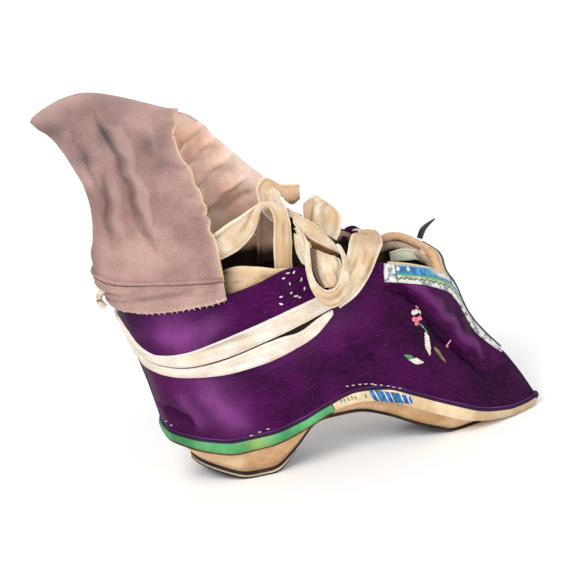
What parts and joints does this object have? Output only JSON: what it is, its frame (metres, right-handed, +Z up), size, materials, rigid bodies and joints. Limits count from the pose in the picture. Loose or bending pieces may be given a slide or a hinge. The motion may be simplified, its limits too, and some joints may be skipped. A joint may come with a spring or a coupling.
{
  "type": "lotus shoe",
  "caption": "Small arched lotus shoe: hollow silk upper on a wooden sole and heel, cotton ankle cuff, ribbon-edged throat, and cotton tapes tied in a bow over the instep.",
  "frame": {"origin": "on the floor under the middle of the heel's flat bottom, on the shoe's centre plane", "axes": "+X to the toe, +Y to the left of the shoe, +Z up; the shoe stands on its sole"},
  "size_m": [0.1744, 0.0545, 0.1628],
  "materials": {
    "silk": "silk satin, deep violet",
    "ribbon": "woven ribbon, blue and white",
    "cotton_lining": "pale cotton",
    "insole_cotton": "worn cotton",
    "covered_wood": "wood covered with tan cotton",
    "tread": "dark worn sole",
    "green_edge": "green bound edge",
    "cream_edge": "cream bound edge",
    "mauve_cotton": "faded mauve cotton",
    "tape": "cream cotton tape",
    "horn": "dark stiff tab"
  },
  "bodies": {
    "root": {"collar_lining": "cotton_lining", "cuff": "mauve_cotton", "cuff_band": "mauve_cotton", "cut_end": "tape", "far_tie": "tape", "heel_lift": "tread", "heel_tape_lower": "tape", "heel_tape_upper": "tape", "horn_tab": "horn", "insole": "insole_cotton", "knot": "tape", "near_loop": "tape", "near_tie": "tape", "pointed_end": "tape", "rand_fore": "cream_edge", "rand_heel": "green_edge", "sole": "covered_wood", "tape_crossing": "tape", "throat_trim": "ribbon", "tread": "tread", "upper": "silk"}
  },
  "joints": []
}
